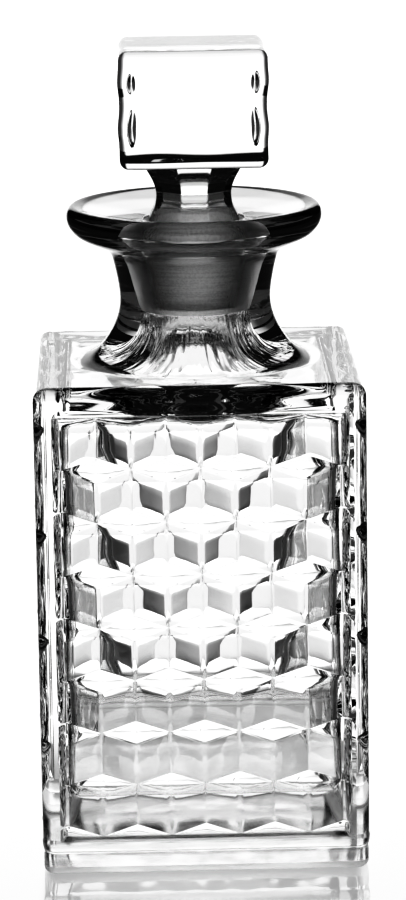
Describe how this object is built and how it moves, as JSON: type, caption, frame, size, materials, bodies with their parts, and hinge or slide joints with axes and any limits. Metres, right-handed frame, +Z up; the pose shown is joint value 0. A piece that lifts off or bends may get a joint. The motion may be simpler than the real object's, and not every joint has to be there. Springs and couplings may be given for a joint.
{
  "type": "decanter",
  "caption": "Square pressed-glass decanter with tumbling-block relief on all sides, flared round lip and a block-headed ground stopper that lifts out.",
  "frame": {"origin": "centre of the underside, on the surface that the decanter stands on", "axes": "+Z up along the axis of the neck and the stopper; the front, as pictured, looks along -Y; +X is to the right in that view"},
  "size_m": [0.0952, 0.0952, 0.235],
  "materials": {
    "clear_glass": "clear colourless fire-polished glass, with a fine-ground grey plug and bore"
  },
  "bodies": {
    "bottle_body": {"bottle": "clear_glass"},
    "stopper_body": {"stopper": "clear_glass"}
  },
  "joints": [
    {"name": "stopper_lift", "type": "slide", "parent": "bottle_body", "child": "stopper_body", "axis": [0, 0, 1], "range_m": [0, 0.07]}
  ]
}
